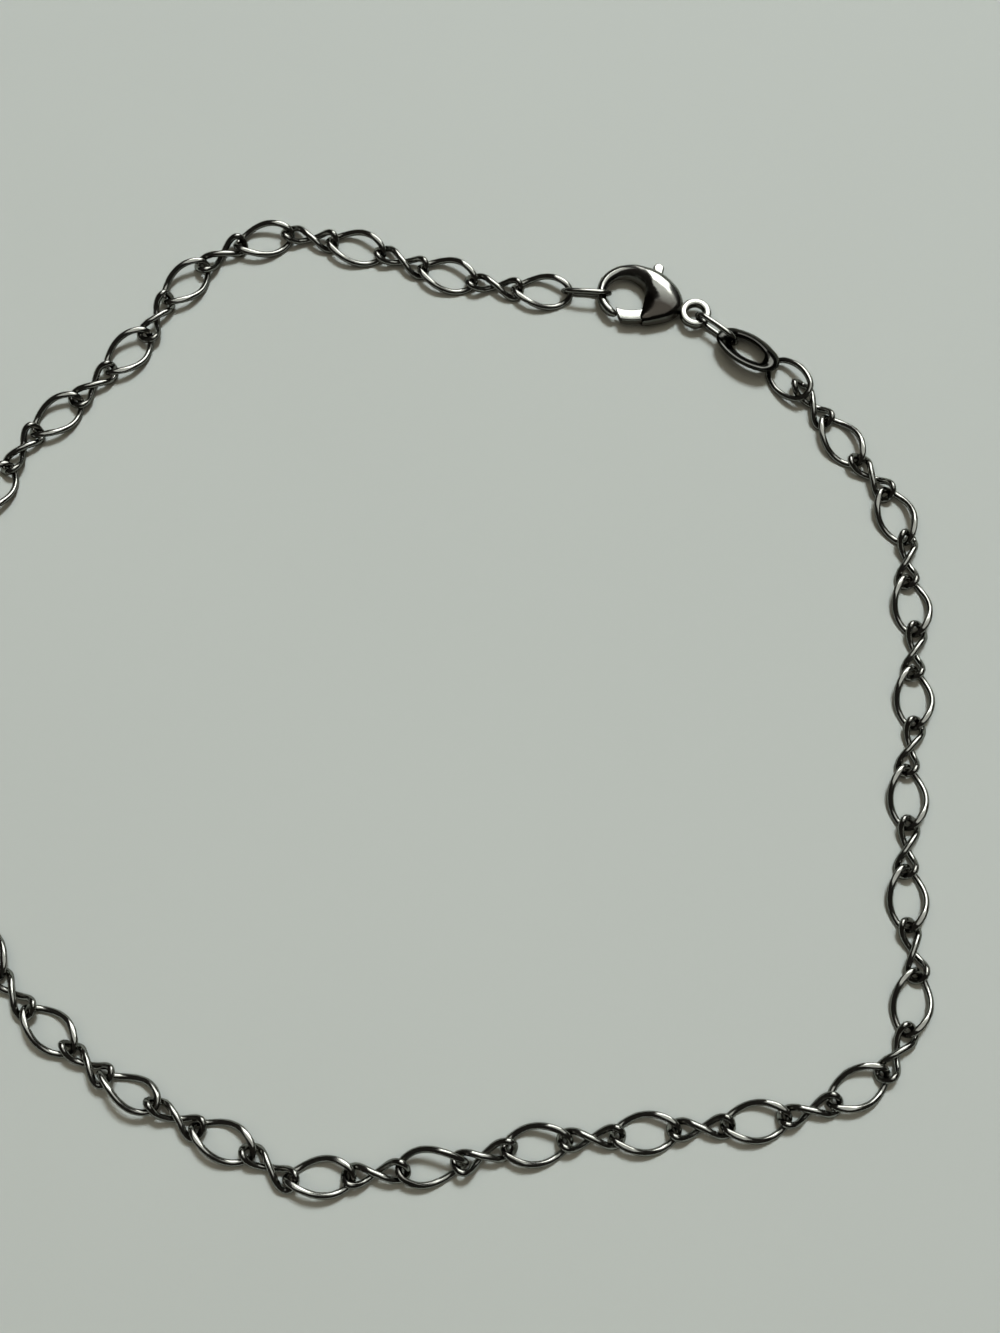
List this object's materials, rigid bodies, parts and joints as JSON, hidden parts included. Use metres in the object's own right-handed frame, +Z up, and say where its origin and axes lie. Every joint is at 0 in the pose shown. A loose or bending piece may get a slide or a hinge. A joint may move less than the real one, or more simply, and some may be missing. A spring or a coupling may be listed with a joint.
{
  "type": "chain anklet",
  "caption": "Fine silver ankle chain of twisted oval links joined by small figure-eight links, with a lobster clasp.",
  "frame": {"origin": "on the surface the chain lies on, under the middle of the loop", "axes": "+Z up off the surface; +Y across the loop towards the clasp; +X to the right with +Y ahead"},
  "size_m": [0.078, 0.0776, 0.0025],
  "materials": {
    "silver": "polished silver, slightly dark"
  },
  "bodies": {
    "anklet": {"clasp_body": "silver", "clasp_pin": "silver", "end_ring": "silver", "eye_ring": "silver", "hook_ring": "silver", "oval_link_01": "silver", "oval_link_02": "silver", "oval_link_03": "silver", "oval_link_04": "silver", "oval_link_05": "silver", "oval_link_06": "silver", "oval_link_07": "silver", "oval_link_08": "silver", "oval_link_09": "silver", "oval_link_10": "silver", "oval_link_11": "silver", "oval_link_12": "silver", "oval_link_13": "silver", "oval_link_14": "silver", "oval_link_15": "silver", "oval_link_16": "silver", "oval_link_17": "silver", "oval_link_18": "silver", "oval_link_19": "silver", "oval_link_20": "silver", "oval_link_21": "silver", "oval_link_22": "silver", "oval_link_23": "silver", "oval_link_24": "silver", "oval_link_25": "silver", "oval_link_26": "silver", "oval_link_27": "silver", "oval_link_28": "silver", "oval_link_29": "silver", "small_links_1": "silver", "small_links_2": "silver", "small_links_3": "silver", "small_links_4": "silver", "small_links_5": "silver", "small_links_6": "silver", "tag_link": "silver"},
    "lever": {"clasp_lever": "silver"}
  },
  "joints": [
    {"name": "clasp_lever", "type": "hinge", "parent": "anklet", "child": "lever", "pos_m": [0.01873, 0.03114, 0.0012], "axis": [0, 0, -1], "range_deg": [0, 22], "stiffness_Nm_per_rad": 0.003}
  ]
}
